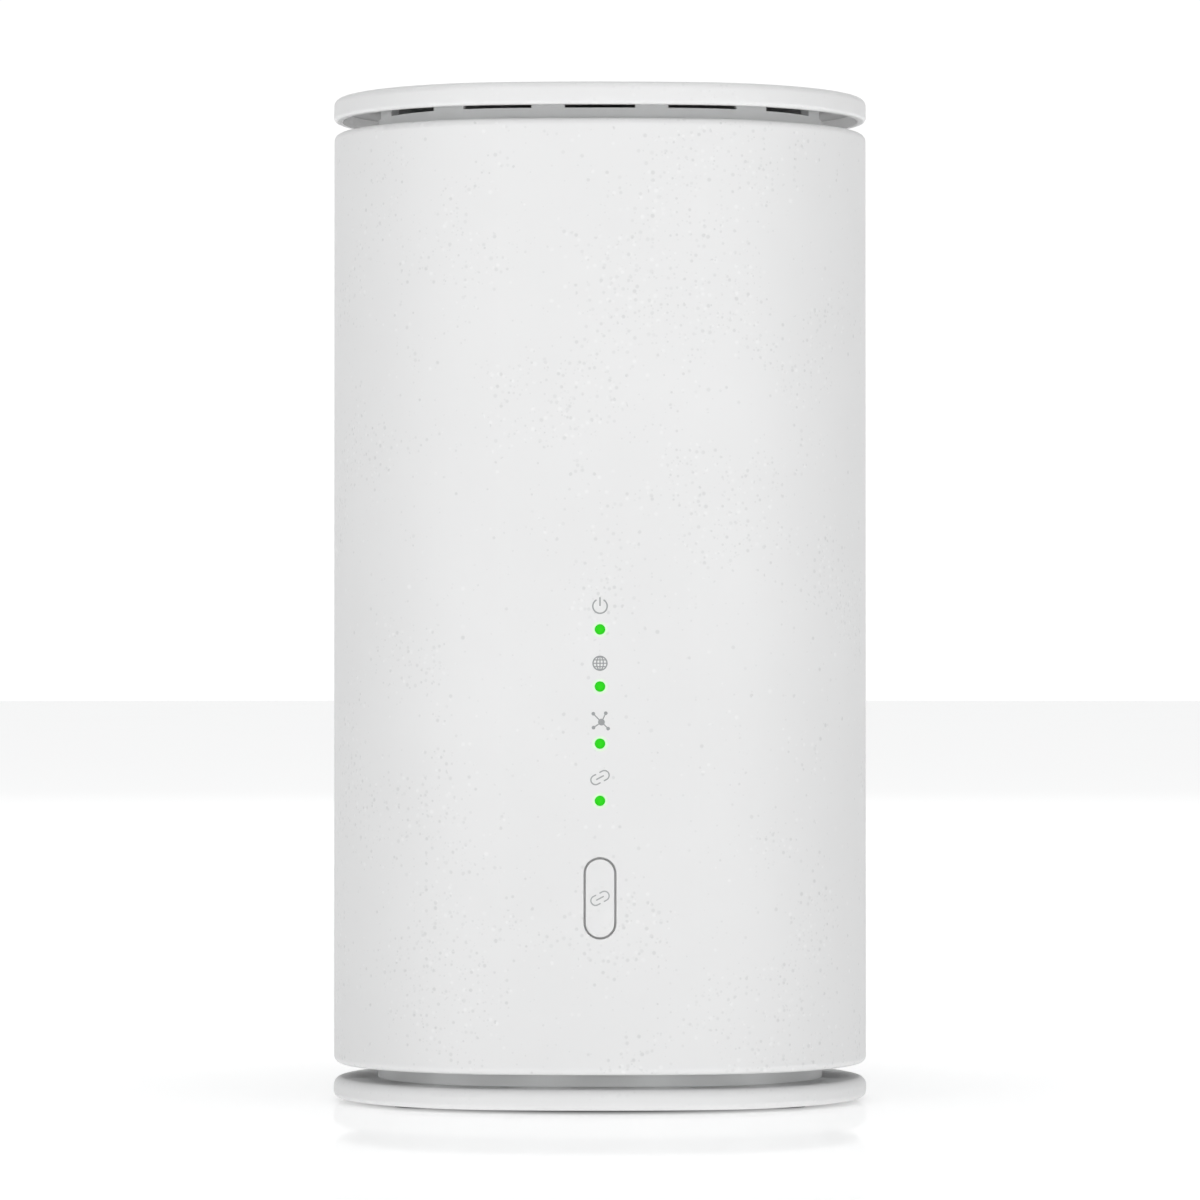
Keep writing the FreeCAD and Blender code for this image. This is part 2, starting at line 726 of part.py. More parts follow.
def make_rear_panel():
    """The recessed panel at the back: a tray whose rim lies flush in the shell's opening."""

    def opening(inset):
        low, high, corner = f"bay_low + {inset}", f"bay_high - {inset}", f"bay_round - {inset}"
        return lambda sketch: rounded_loop(sketch, f"bay_half_width - {inset}", low, high, corner)

    outer = faced("panel_outer", opening("fit_gap"), "bay_floor - panel_wall", "half_depth + 1")
    skin = crowned("panel_skin", "0.3", "body_low", "body_high")
    inner = faced("panel_inner", opening("panel_wall"), "bay_floor", "half_depth + 2")
    through = ("bay_floor - panel_wall - 1", "bay_floor + 1")
    half, rise = "jack_width / 2 + fit_gap", "jack_height / 2 + fit_gap"
    windows = [
        block(
            "panel_jack_window",
            (f"{x} - ({half})", f"{x} + {half}"),
            through,
            (f"jack_level - ({rise})", f"jack_level + {rise}"),
        )
        for _, x in jack_positions()
    ]
    windows.append(rod("panel_dc_hole", "dc_across", "service_level", "4.7 + fit_gap", *through))
    windows.append(rod("panel_reset_hole", "reset_across", "service_level", "0.9", *through))
    tray = common("panel_skinned", [outer, skin])
    keep("rear_io_panel", cut("rear_panel_solid", tray, [inner] + windows))


def make_ethernet_jacks():
    """Three network sockets, each a block with the stepped opening of a plug and its latch."""
    board, mouth = "board_front + board_thick", "bay_floor - 0.3"
    springs = []
    for name, x in jack_positions():
        low = "jack_level - plug_height / 2 + 0.9"
        case = block(
            f"jack_{name}_case",
            (f"{x} - jack_width / 2", f"{x} + jack_width / 2"),
            (board, mouth),
            ("jack_level - jack_height / 2", "jack_level + jack_height / 2"),
        )
        depth = (f"{mouth} - plug_depth", f"{mouth} + 1")
        cavity = [
            block(
                f"jack_{name}_plug",
                (f"{x} - plug_width / 2", f"{x} + plug_width / 2"),
                depth,
                (low, f"{low} + plug_height"),
            ),
            block(f"{name}_latch", (f"{x} - 3.1", f"{x} + 3.1"), depth, (f"{low} - 1.6", f"{low} + 1")),
            block(f"jack_{name}_tab", (f"{x} - 2", f"{x} + 2"), depth, (f"{low} - 3", f"{low} + 1")),
        ]
        keep(f"ethernet_jack_{name}", cut(f"jack_{name}_solid", case, cavity))
        for number in range(8):
            across = f"{x} + {1.02 * (number - 3.5):.2f}"
            springs.append(
                block(
                    "jack_spring",
                    (f"{across} - 0.15", f"{across} + 0.15"),
                    (f"{mouth} - plug_depth", f"{mouth} - 3.5"),
                    (f"{low} + plug_height - 1.1", f"{low} + plug_height - 0.8"),
                )
            )
    group("jack_contacts", springs)


def make_power_inlet():
    """The round low-voltage inlet with its centre pin."""
    board, x, z = "board_front + board_thick", "dc_across", "service_level"
    case = block(
        "dc_case",
        (f"{x} - 5.5", f"{x} + 5.5"),
        (board, "bay_floor - panel_wall - 0.2"),
        (f"{z} - 5.5", f"{z} + 5.5"),
    )
    nose = rod("dc_nose", x, z, "4.7", "bay_floor - panel_wall - 1", "bay_floor - 0.3")
    bore = rod("dc_bore", x, z, "3.2", "bay_floor - 10", "bay_floor + 1")
    keep("dc_jack", cut("dc_jack_solid", fuse("dc_jack_whole", [case, nose]), [bore]))
    keep("dc_pin", rod("dc_pin_rod", x, z, "1", "bay_floor - 10", "bay_floor - 1.5"))


def make_reset_switch():
    """A tall tact switch on the main board, reached with a pin through the small hole."""
    board, x, z = "board_front + board_thick", "reset_across", "service_level"
    across, tall = (f"{x} - 3", f"{x} + 3"), (f"{z} - 3", f"{z} + 3")
    case = block("reset_case", across, (board, f"{board} + 3.5"), tall)
    bore = rod("reset_bore", x, z, "plunger_radius + plunger_gap", f"{board} + 1", f"{board} + 4")
    keep("reset_switch", cut("reset_switch_solid", case, [bore]))
    reach = (f"{board} + 1.6", "bay_floor - panel_wall - 2")
    keep("reset_plunger", rod("reset_plunger_rod", x, z, "plunger_radius", *reach))


# ---------------------------------------------------------------- main board


def make_chassis_frame():
    """The upright frame that carries the main board between the floor and the upper neck."""
    edge, rear = "frame_half_width", "board_front"
    front = "board_front - frame_thick"
    low = "body_low + 2.5"
    upright_frame = block("frame_block", (f"-{edge}", edge), (front, rear), (low, "frame_top"))
    window = block(
        "frame_window",
        (f"-{edge} + frame_rail", f"{edge} - frame_rail"),
        (f"{front} - 1", f"{rear} + 1"),
        ("board_low + 4", "frame_top - 10"),
    )
    shelf = block("frame_shelf", ("-32", "32"), ("-24", "24"), ("frame_top - 2.2", "frame_top"))
    vents = [
        block("frame_front_vent", ("-28", "28"), ("-20", "6"), ("frame_top - 3", "frame_top + 1")),
        block("frame_rear_vent", ("-28", "28"), ("15.5", "20.5"), ("frame_top - 3", "frame_top + 1")),
    ]
    toe = block("frame_toe", ("-30", "30"), ("-8", "24"), (low, f"{low} + 2.2"))
    pilots = [
        rod("frame_pilot", f"{side} * (frame_half_width - 4)", level, "screw_radius + 0.05", front, rear)
        for side in SIDES
        for level in board_screw_levels()
    ]
    notches = []
    for across, deep in QUARTERS:
        x, y = post_place(across, deep)
        notches.append(upright("frame_notch", x, y, "head_radius + 0.8", "frame_top - 3", "frame_top + 1"))
    whole = fuse("frame_whole", [cut("frame_open", upright_frame, [window]), shelf, toe])
    keep("chassis_frame", cut("chassis_frame_solid", whole, vents + pilots + notches))


def board_screw_levels():
    return ("board_low + 8", "(board_low + board_high) / 2", "board_high - 6")


def sink_screw_places():
    return [
        (f"{side} * (sink_half_width - 4)", level)
        for side in SIDES
        for level in ("sink_low + 4", "sink_high - 4")
    ]


def make_main_board():
    edge, front = "board_half_width", "board_front"
    rear = "board_front + board_thick"
    plate = block("board_plate", (f"-{edge}", edge), (front, rear), ("board_low", "board_high"))
    hole_radius = "screw_radius + screw_clear"
    holes, screws = [], []
    for side in SIDES:
        for level in board_screw_levels():
            x = f"{side} * (frame_half_width - 4)"
            holes.append(rod("board_hole", x, level, hole_radius, f"{front} - 1", f"{rear} + 1"))
            head = rod("board_screw_head", x, level, "head_radius", rear, f"{rear} + head_height")
            shank = rod("board_screw_shank", x, level, "screw_radius", f"{front} - 3", rear)
            screws.append(fuse("board_screw", [head, shank]))
    sink_screws = []
    for x, level in sink_screw_places():
        holes.append(rod("sink_hole", x, level, hole_radius, f"{front} - 1", f"{rear} + 1"))
        head = rod("sink_screw_head", x, level, "head_radius", rear, f"{rear} + head_height")
        shank = rod("sink_screw_shank", x, level, "screw_radius", f"{front} - 5", rear)
        sink_screws.append(fuse("sink_screw", [head, shank]))
    keep("main_pcb", cut("main_board_solid", plate, holes))
    group("pcb_screws", screws)
    group("heat_sink_screws", sink_screws)


def fins(name, count, front, rear, low, high):
    pieces = []
    for number in range(count):
        x = f"{number - (count - 1) / 2} * fin_pitch"
        across = (f"{x} - fin_thick / 2", f"{x} + fin_thick / 2")
        pieces.append(block(name, across, (front, rear), (low, high)))
    return pieces


def make_heat_sinks():
    """Finned extrusions on both sides of the board, with upright fins so that air can rise."""
    edge, low, high = "sink_half_width", "sink_low", "sink_high"
    root = "board_front - 6"
    plate = block("front_sink_plate", (f"-{edge}", edge), (root, f"{root} + 2.8"), (low, high))
    posts, pilots = [], []
    for x, z in sink_screw_places():
        posts.append(rod("front_sink_post", x, z, "3", f"{root} + 2", "board_front"))
        pilots.append(rod("front_sink_pilot", x, z, "screw_radius + 0.05", root, "board_front"))
    front_fins = fins("front_fin", 9, f"{root} - 15", f"{root} + 1", low, high)
    whole = fuse("front_sink_whole", [plate] + posts + front_fins)
    keep("front_heat_sink", cut("front_sink_solid", whole, pilots))
    rear = "board_front + board_thick"
    edge = "sink_half_width - 9"
    low, high = "sink_low + 14", "sink_high - 6"
    plate = block("rear_sink_plate", (f"-({edge})", edge), (f"{rear} + 2.4", f"{rear} + 4.8"), (low, high))
    rear_fins = fins("rear_fin", 5, f"{rear} + 4", f"{rear} + 15", low, high)
    keep("rear_heat_sink", fuse("rear_sink_solid", [plate] + rear_fins))


def chip(name, x, z, half_wide, half_tall, front, rear):
    return block(name, (x - half_wide, x + half_wide), (front, rear), (z - half_tall, z + half_tall))


def make_board_parts():
    """The main chips, their shields and pads, and the taller parts of the power supply."""
    front, rear = "board_front", "board_front + board_thick"
    sink = f"{front} - 3.2"
    keep("processor", chip("processor_chip", 0, 118, 9, 9, f"{front} - 1.8", front))
    memory = [chip("memory_chip", x, 96, 4.5, 6, f"{front} - 1.1", front) for x in (-7, 7)]
    group("memory_chips", memory)
    radio_places = ((-9, 105), (9, 105), (0, 140))
    radios = [chip("radio_chip", x, z, 5, 5, rear, f"{rear} + 1") for x, z in radio_places]
    group("radio_chips", radios)
    pads = [chip("processor_pad", 0, 118, 8, 8, sink, f"{front} - 1.8")]
    for x, z in ((-9, 105), (9, 105), (0, 140)):
        pads.append(chip("radio_pad", x, z, 4.5, 4.5, f"{rear} + 1", f"{rear} + 2.4"))
    group("thermal_pads", pads)
    shields = []
    for x, z in ((-19, 150), (19, 150), (0, 150)):
        can = chip("shield_can", x, z, 8, 7, f"{front} - 2.4", front)
        hollow = chip("shield_hollow", x, z, 7.7, 6.7, f"{front} - 2.1", f"{front} + 1")
        shields.append(cut("shield", can, [hollow]))
    group("rf_shields", shields)
    coils = [chip("power_coil", x, 58, 3.5, 3.5, f"{front} - 3.5", front) for x in (-20, -11)]
    group("power_inductors", coils)
    cans = [rod("capacitor_can", str(x), "58", "3.2", f"{front} - 9", front) for x in (10, 19)]
    group("capacitors", cans)
    magnetics = [
        block(
            "magnetics_block",
            (f"{x} - 6.5", f"{x} + 6.5"),
            (f"{front} - 4.5", front),
            ("jack_level - 5", "jack_level + 5"),
        )
        for _, x in jack_positions()
    ]
    group("ethernet_magnetics", magnetics)


def make_flat_cable():
    """The flat cable between the two boards: a shallow hanging bow between its two connectors."""
    start, end = "front_board_face + front_board_thick", "board_front"
    y0, y1, level = size(start) + 2, size(end) - 2, size("key_level")
    sag, thick, half = 6.0, 0.35, 4.5
    middle = Vector(-half, (y0 + y1) / 2, level - sag)
    bow = Part.Arc(Vector(-half, y0, level), middle, Vector(-half, y1, level))
    low = Part.Arc(
        Vector(-half, y0, level - thick),
        Vector(-half, (y0 + y1) / 2, level - sag - thick),
        Vector(-half, y1, level - thick),
    )
    ends = [
        Part.makeLine(Vector(-half, y, level), Vector(-half, y, level - thick)) for y in (y0, y1)
    ]
    outline = Part.Wire(Part.__sortEdges__([bow.toShape(), low.toShape()] + ends))
    cable = doc.addObject("Part::Feature", "flat_cable_solid")
    cable.Shape = Part.Face(outline).extrude(Vector(2 * half, 0, 0))
    keep("flat_cable", cable)
    sockets = [
        block("cable_socket", ("-6", "6"), (start, f"{start} + 2"), ("key_level - 1.6", "key_level + 1.2")),
        block("cable_socket", ("-6", "6"), (f"{end} - 2", end), ("key_level - 1.6", "key_level + 1.2")),
    ]
    group("flat_cable_connectors", sockets)


# ---------------------------------------------------------------- antennas


def make_antennas():
    """Four plate antennas, two on a bracket at each side, with their coaxial leads to the board."""
    bands = (("front", "-4 - antenna_width", "-4"), ("rear", "4", "4 + antenna_width"))
    for side_name, side in (("left", -1), ("right", 1)):
        make_antenna_bracket(side_name, side)
        for end_name, near, far in bands:
            plate = block(
                f"antenna_{side_name}_{end_name}_plate",
                mirrored_range(side, "antenna_plane", "antenna_plane + 0.8"),
                (near, far),
                ("antenna_low", "antenna_high"),
            )
            keep(f"antenna_{side_name}_{end_name}", plate)


def mirrored_range(side, low, high):
    """Limits on the right, or their mirror image on the left."""
    return (low, high) if side > 0 else (f"-({high})", f"-({low})")


def make_antenna_bracket(name, side):
    wall = block(
        f"bracket_{name}_wall",
        mirrored_range(side, "antenna_plane - bracket_wall", "antenna_plane"),
        ("-6 - antenna_width", "6 + antenna_width"),
        ("antenna_low - 4", "antenna_high + 4"),
    )
    arms = [
        block(
            f"bracket_{name}_arm",
            mirrored_range(side, "frame_half_width", "antenna_plane - 1"),
            ("board_front - frame_thick", "board_front"),
            (level, f"{level} + 6"),
        )
        for level in ("antenna_low", "antenna_high - 6")
    ]
    keep(f"antenna_bracket_{name}", fuse(f"bracket_{name}_solid", [wall] + arms))


def routed_lead(points, radius, bend):
    """A round lead along straight runs that are joined by tangent arcs."""
    edges, start = [], points[0]
    for before, corner, after in zip(points, points[1:], points[2:]):
        inward, outward = (corner - before).normalize(), (after - corner).normalize()
        half = inward.getAngle(outward) / 2
        trim = bend * math.tan(half)
        first, last = corner - inward * trim, corner + outward * trim
        to_centre = (outward - inward).normalize()
        middle = corner + to_centre * (bend / math.cos(half) - bend)
        edges.append(Part.makeLine(start, first))
        edges.append(Part.Arc(first, middle, last).toShape())
        start = last
    edges.append(Part.makeLine(start, points[-1]))
    path = Part.Wire(edges)
    first_run = (points[1] - points[0]).normalize()
    section = Part.Wire([Part.Circle(points[0], first_run, radius).toShape()])
    return path.makePipeShell([section], True, True)


def make_antenna_leads():
    radius = size("lead_radius")
    inside = size("antenna_plane - bracket_wall - lead_radius")
    foot, board = size("antenna_low") - 1, size("board_front") - 1.5
    leads, plugs = [], []
    for side in SIDES:
        for deep, level in ((-11.0, 44.0), (11.0, 50.0)):
            route = [
                Vector(side * inside, deep, foot),
                Vector(side * inside, deep, level + 12 + abs(deep - 11) / 3),
                Vector(side * 28, board - 8, level),
                Vector(side * 28, board - 1, level),
            ]
            lead = doc.addObject("Part::Feature", "antenna_lead")
            lead.Shape = routed_lead(route, radius, 3.0)
            leads.append(lead)
            plugs.append(rod("lead_plug", f"{side * 28}", level, "1.5", "board_front - 2.5", "board_front"))
    group("antenna_leads", leads)
    group("coax_connectors", plugs)


# ---------------------------------------------------------------- build and write


def check_and_write():
    """Every object has to be up to date and every piece valid before any file is written."""
    doc.recompute()
    for item in doc.Objects:
        if "Invalid" in item.State or "Error" in item.State:
            raise ValueError(f"{item.Name} failed: {item.State}")
    for item in nodes:
        if item.Shape.isNull() or not item.Shape.isValid() or not item.Shape.Solids:
            raise ValueError(f"{item.Label} has no valid solid")
    os.makedirs("parts", exist_ok=True)
    for item in nodes:
        item.Shape.exportStep(f"parts/{item.Label}.step")
        print(item.Label, len(item.Shape.Solids), round(item.Shape.Volume, 1))


fill_sheet()
make_top_cap()
make_top_neck()
make_cap_screws()
make_outer_shell()
make_base_neck()
make_base_plate()
make_feet_and_base_screws()
make_light_pipe()
make_pairing_button()
make_front_board()
make_tact_switch()
make_front_carrier()
make_rear_panel()
make_ethernet_jacks()
make_power_inlet()
make_reset_switch()
make_chassis_frame()
make_main_board()
make_heat_sinks()
make_board_parts()
make_flat_cable()
make_antennas()
make_antenna_leads()
check_and_write()
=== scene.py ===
import json
import math

import bmesh
import bpy
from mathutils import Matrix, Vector


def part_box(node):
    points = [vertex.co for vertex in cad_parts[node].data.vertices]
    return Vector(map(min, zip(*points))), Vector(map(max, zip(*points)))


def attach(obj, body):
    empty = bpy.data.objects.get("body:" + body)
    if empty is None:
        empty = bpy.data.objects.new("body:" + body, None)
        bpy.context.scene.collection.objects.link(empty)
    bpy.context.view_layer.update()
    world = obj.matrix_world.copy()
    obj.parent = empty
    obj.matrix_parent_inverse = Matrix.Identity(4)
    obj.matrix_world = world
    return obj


# Looks for the mesh wifi node. Metres, +Z up, the front faces -Y.

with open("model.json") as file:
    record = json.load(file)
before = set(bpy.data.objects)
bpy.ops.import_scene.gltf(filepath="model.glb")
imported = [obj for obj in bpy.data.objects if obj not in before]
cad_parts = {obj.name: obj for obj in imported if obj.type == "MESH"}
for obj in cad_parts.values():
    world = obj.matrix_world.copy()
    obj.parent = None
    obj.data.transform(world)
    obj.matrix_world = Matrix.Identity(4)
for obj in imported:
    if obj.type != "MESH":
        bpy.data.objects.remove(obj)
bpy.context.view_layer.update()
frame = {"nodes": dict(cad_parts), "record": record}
scene = bpy.context.scene
scene.view_settings.view_transform = "Standard"
MM = 0.001


# ---------------------------------------------------------------- plan outline and front details

END_RADIUS = 41.95 * MM          # the sleeve's plan: two round ends joined by two shallow faces
END_CENTRE = 15.5 * MM
HALF_WIDTH = END_CENTRE + END_RADIUS
HALF_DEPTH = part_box("outer_shell")[1].y
FACE_RADIUS = (END_CENTRE**2 + HALF_DEPTH**2 - END_RADIUS**2) / (2 * (HALF_DEPTH - END_RADIUS))
FACE_CENTRE = FACE_RADIUS - HALF_DEPTH

PIPE_LOW, PIPE_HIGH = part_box("light_pipe")
PIPE_END = 2.5 * MM              # the light pipe's bar past its first and last tip
LAMP_TOP, LAMP_BOTTOM = PIPE_HIGH.z - PIPE_END, PIPE_LOW.z + PIPE_END
LAMP_COUNT = 4
LAMP_RADIUS = 1.05 * MM
LAMP_POWER = 0.72
PAINTED_GLOW_REACH = 0.9 * MM            # how far the painted green glow round a lamp spreads on the plastic
# strength of the green glow painted on the shell round each lamp
PAINTED_GLOW_POWER = 0.12

KEY_LOW, KEY_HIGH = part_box("pairing_button")
KEY_LEVEL = (KEY_LOW.z + KEY_HIGH.z) / 2
PAINTED_GROOVE_LIGHT = 0.06          # painted light in the key's groove, standing in for light that soaks through its thin walls
MARK_RISE = 4.85 * MM            # a mark's middle above its lamp's
MARK_REACH = 2.6                 # half the square that holds a mark, and the ink's cell, in millimetres
INK_CELL = 0.07
LEAST_SHARE = 0.05               # how near a cell's corner the ink's edge may cut
PRINT_SEAT = 0.004 * MM          # the ink's underside and thickness, outwards from the skin
PRINT_THICK = 0.02 * MM

PATCH_SCALE = 40                 # the patches that the flecks crowd in
PLASTIC_SHINE = 0.4
INSIDE_REACH = 12 * MM           # faces of the lid that look inwards from at least this far out, which get painted light
PAINTED_WALL_LIGHT = 0.15                # painted light on the lid's inward walls, standing in for light that soaks through its thin wall

FLOOR_RADIUS = 12.0
FLOOR_GLOSS = 0.18
FLOOR_LIGHT = 0.335              # the floor's own light by the object, and what it gains further out; having less of it near the object paints a shadow round the base
FLOOR_GAIN, FAR_GAIN = 0.10, 0.17
NEAR_RISE = (0.74, 1.08)         # where each rises: the first in shares of the plan, the others in metres. Below these the floor is darker, a painted shadow round the object.
MIDDLE_RISE = (0.07, 0.16)
FAR_RISE = (0.30, 2.5)
FILL = 0.17                      # the backdrop's strength as a light, and as it is seen
BACKDROP = 1.05

CAMERA_LENS, CAMERA_SENSOR = 171, 36
CAMERA_PLACE = (0.0, -1.233, 0.095)
CAMERA_TILT = 0.6                # degrees upwards from level


def front_y(x, lift=0.0):
    """The crowned front face's y at x, pushed out by lift."""
    return FACE_CENTRE - math.sqrt((FACE_RADIUS + lift) ** 2 - x * x)


# ---------------------------------------------------------------- node graph helpers


class Graph:
    """A material's node tree, with short calls for the nodes used here."""

    def __init__(self, name):
        self.material = bpy.data.materials.new(name)
        self.material.use_nodes = True
        self.tree = self.material.node_tree
        self.tree.nodes.clear()
        self.output = self.add("ShaderNodeOutputMaterial")
        self.place = self.add("ShaderNodeTexCoord").outputs["Object"]

    def add(self, kind, **settings):
        node = self.tree.nodes.new(kind)
        for key, value in settings.items():
            setattr(node, key, value)
        return node

    def feed(self, socket, value):
        """Links value into the socket if it is an output, else sets it there."""
        if isinstance(value, bpy.types.NodeSocket):
            self.tree.links.new(value, socket)
        else:
            socket.default_value = value

    def math(self, operation, a, b=0.0, clamp=False):
        node = self.add("ShaderNodeMath", operation=operation, use_clamp=clamp)
        self.feed(node.inputs[0], a)
        self.feed(node.inputs[1], b)
        return node.outputs[0]

    def span(self, value, low, high, to_low=0.0, to_high=1.0, smooth=False):
        """Maps low..high onto to_low..to_high, clamped."""
        node = self.add("ShaderNodeMapRange")
        node.interpolation_type = "SMOOTHSTEP" if smooth else "LINEAR"
        for index, item in enumerate((value, low, high, to_low, to_high)):
            self.feed(node.inputs[index], item)
        return node.outputs[0]

    def noise(self, scale, detail=2.0, roughness=0.5, place=None):
        node = self.add("ShaderNodeTexNoise")
        self.feed(node.inputs["Vector"], place or self.place)
        node.inputs["Scale"].default_value = scale
        node.inputs["Detail"].default_value = detail
        node.inputs["Roughness"].default_value = roughness
        return node.outputs["Fac"]

    def cells(self, scale, place):
        """A cell pattern: distance to the nearest point, and that cell's random colour."""
        node = self.add("ShaderNodeTexVoronoi")
        self.feed(node.inputs["Vector"], place)
        node.inputs["Scale"].default_value = scale
        return node.outputs["Distance"], node.outputs["Color"]

    def shift(self, offset, stretch=(1.0, 1.0, 1.0)):
        """Object coordinates moved and stretched."""
        node = self.add("ShaderNodeMapping")
        self.feed(node.inputs["Vector"], self.place)
        node.inputs["Location"].default_value = offset
        node.inputs["Scale"].default_value = stretch
        return node.outputs["Vector"]

    def length(self, vector):
        node = self.add("ShaderNodeVectorMath", operation="LENGTH")
        self.feed(node.inputs[0], vector)
        return node.outputs["Value"]

    def split(self, value):
        """A colour's red, green and blue."""
        node = self.add("ShaderNodeSeparateColor")
        self.feed(node.inputs[0], value)
        return node.outputs

    def axes(self):
        """The point's x, y and z."""
        node = self.add("ShaderNodeSeparateXYZ")
        self.feed(node.inputs[0], self.place)
        return node.outputs

    def blend(self, share, first, second):
        """A mix of two colours, all first at share 0 and all second at share 1."""
        node = self.add("ShaderNodeMix", data_type="RGBA")
        self.feed(node.inputs[0], share)
        self.feed(node.inputs[6], first)
        self.feed(node.inputs[7], second)
        return node.outputs[2]

    def bump(self, height, strength, distance):
        node = self.add("ShaderNodeBump")
        node.inputs["Strength"].default_value = strength
        node.inputs["Distance"].default_value = distance
        self.feed(node.inputs["Height"], height)
        return node.outputs["Normal"]

    def finish(self, colour, roughness, normal=None, **fixed):
        """The surface shader. Keyword names are its socket names with underscores."""
        shader = self.add("ShaderNodeBsdfPrincipled")
        self.feed(shader.inputs["Base Color"], colour)
        self.feed(shader.inputs["Roughness"], roughness)
        if normal is not None:
            self.feed(shader.inputs["Normal"], normal)
        for key, value in fixed.items():
            self.feed(shader.inputs[key.replace("_", " ")], value)
        self.tree.links.new(shader.outputs[0], self.output.inputs["Surface"])
        return self.material


def tone(red, green=None, blue=None):
    """A linear colour from 8-bit screen values."""
    values = (red, red if green is None else green, red if blue is None else blue)
    linear = [(v / 255 / 12.92) if v <= 10.3 else ((v / 255 + 0.055) / 1.055) ** 2.4 for v in values]
    return (*linear, 1.0)


# ---------------------------------------------------------------- white shell plastics


def lamp_levels():
    """The heights of the lamps on the front, the top one first."""
    pitch = (LAMP_TOP - LAMP_BOTTOM) / (LAMP_COUNT - 1)
    return [LAMP_TOP - pitch * number for number in range(LAMP_COUNT)]


def nearest_lamp(g):
    """How far a point is from the nearest lamp's middle, seen from the front."""
    x, _, z = g.axes()
    nearest = None
    for level in lamp_levels():
        rise = g.math("SUBTRACT", z, level)
        apart = g.math("SQRT", g.math("ADD", g.math("MULTIPLY", x, x), g.math("MULTIPLY", rise, rise)))
        nearest = apart if nearest is None else g.math("MINIMUM", nearest, apart)
    return nearest


def painted_lamp_glow(g):
    """0 to 1: how near a point on the skin is to a lamp's rim. This masks a green glow painted on the plastic
    round each lamp.
    """
    near = g.span(nearest_lamp(g), LAMP_RADIUS, LAMP_RADIUS + PAINTED_GLOW_REACH, 1.0, 0.0, smooth=True)
    front = g.span(g.axes()[1], -HALF_DEPTH + 2 * MM, -HALF_DEPTH + 3 * MM, 1.0, 0.0)
    return g.math("MULTIPLY", near, front)


def fleck_layer(g, scale, inside, outside, small, large, offset, soft):
    """Round flecks of mixed size in some cells of a pattern, crowded in patches. Gives 0 to 1.

    inside and outside are the shares of cells with a fleck in a patch and between patches.
    """
    distance, colour = g.cells(scale, g.shift(offset))
    chance, girth, depth = g.split(colour)[:3]
    crowd = g.noise(PATCH_SCALE, 2.0, 0.55)
    limit = g.span(crowd, 0.48, 0.64, outside, inside, smooth=True)
    chosen = g.math("LESS_THAN", chance, limit)
    rim = g.span(girth, 0.0, 1.0, small * scale, large * scale)
    edge = g.math("SUBTRACT", 1.0, g.math("DIVIDE", distance, rim))
    dot = g.span(edge, 0.0, soft, 0.0, 1.0, smooth=True)
    strong = g.span(depth, 0.0, 1.0, 0.35, 1.0)
    return g.math("MULTIPLY", g.math("MULTIPLY", dot, chosen), strong)


def flecked_plastic(g, fleck):
    """Matte white moulded plastic with small grey flecks in patches, and a few lighter ones.

    Gives its colour, roughness and normal. fleck is the flecks' strength.
    """
    dark = fleck_layer(g, 760, 0.80, 0.05, 0.30 * MM, 0.62 * MM, (0.013, 0.007, 0.003), 0.6)
    tiny = fleck_layer(g, 1100, 0.55, 0.10, 0.18 * MM, 0.36 * MM, (0.031, 0.017, 0.023), 0.6)
    light = fleck_layer(g, 700, 0.70, 0.05, 0.30 * MM, 0.70 * MM, (0.003, 0.041, 0.011), 0.7)
    drift = g.noise(22, 3.0, 0.55)
    base = g.blend(g.span(drift, 0.3, 0.7), tone(233), tone(236))
    base = g.blend(g.math("MULTIPLY", light, 0.6 * fleck), base, tone(246))
    base = g.blend(g.math("MULTIPLY", tiny, 0.17 * fleck), base, tone(170, 172, 172))
    base = g.blend(g.math("MULTIPLY", dark, 0.24 * fleck), base, tone(160, 162, 162))
    grain = g.noise(5200, 2.0, 0.6)
    soft = g.noise(900, 2.0, 0.5)
    rough = g.math("ADD", g.span(soft, 0.3, 0.7, 0.50, 0.58), g.math("MULTIPLY", dark, -0.06))
    height = g.math("ADD", g.math("MULTIPLY", grain, 0.6), g.math("MULTIPLY", soft, 0.4))
    return base, rough, g.bump(height, 0.25, 0.02 * MM)


def finish_plastic(g, base, rough, normal, light, strength):
    """The plastic's surface, with a light of its own where strength is above 0."""
    own_light = {"Emission_Color": light, "Emission_Strength": strength}
    return g.finish(base, rough, normal, Specular_IOR_Level=PLASTIC_SHINE, **own_light)


def shell_plastic():
    """The sleeve's plastic, with full flecks and a faint painted green glow round each lamp."""
    g = Graph("shell_white_look")
    base, rough, normal = flecked_plastic(g, 1.0)
    near = painted_lamp_glow(g)
    # Painted glow: the colour is tinted green and the plastic gives off green light round each lamp.
    base = g.blend(g.math("MULTIPLY", near, 0.45), base, tone(206, 246, 196))
    return finish_plastic(g, base, rough, normal, tone(150, 255, 130), g.math("MULTIPLY", near, PAINTED_GLOW_POWER))


def trim_plastic():
    """The lid's and base's plastic. Walls that look inwards get painted light, given off by the plastic, in
    place of light that soaks through them.
    """
    g = Graph("trim_white_look")
    facing = g.add("ShaderNodeVectorMath", operation="DOT_PRODUCT")
    g.feed(facing.inputs[0], g.shift((0, 0, 0), (1, 1, 0)))
    g.feed(facing.inputs[1], g.add("ShaderNodeNewGeometry").outputs["Normal"])
    # Painted light: faces that look inwards give off a little white light.
    inside = g.math("LESS_THAN", facing.outputs["Value"], -INSIDE_REACH)
    return finish_plastic(g, *flecked_plastic(g, 0.35), tone(255), g.math("MULTIPLY", inside, PAINTED_WALL_LIGHT))


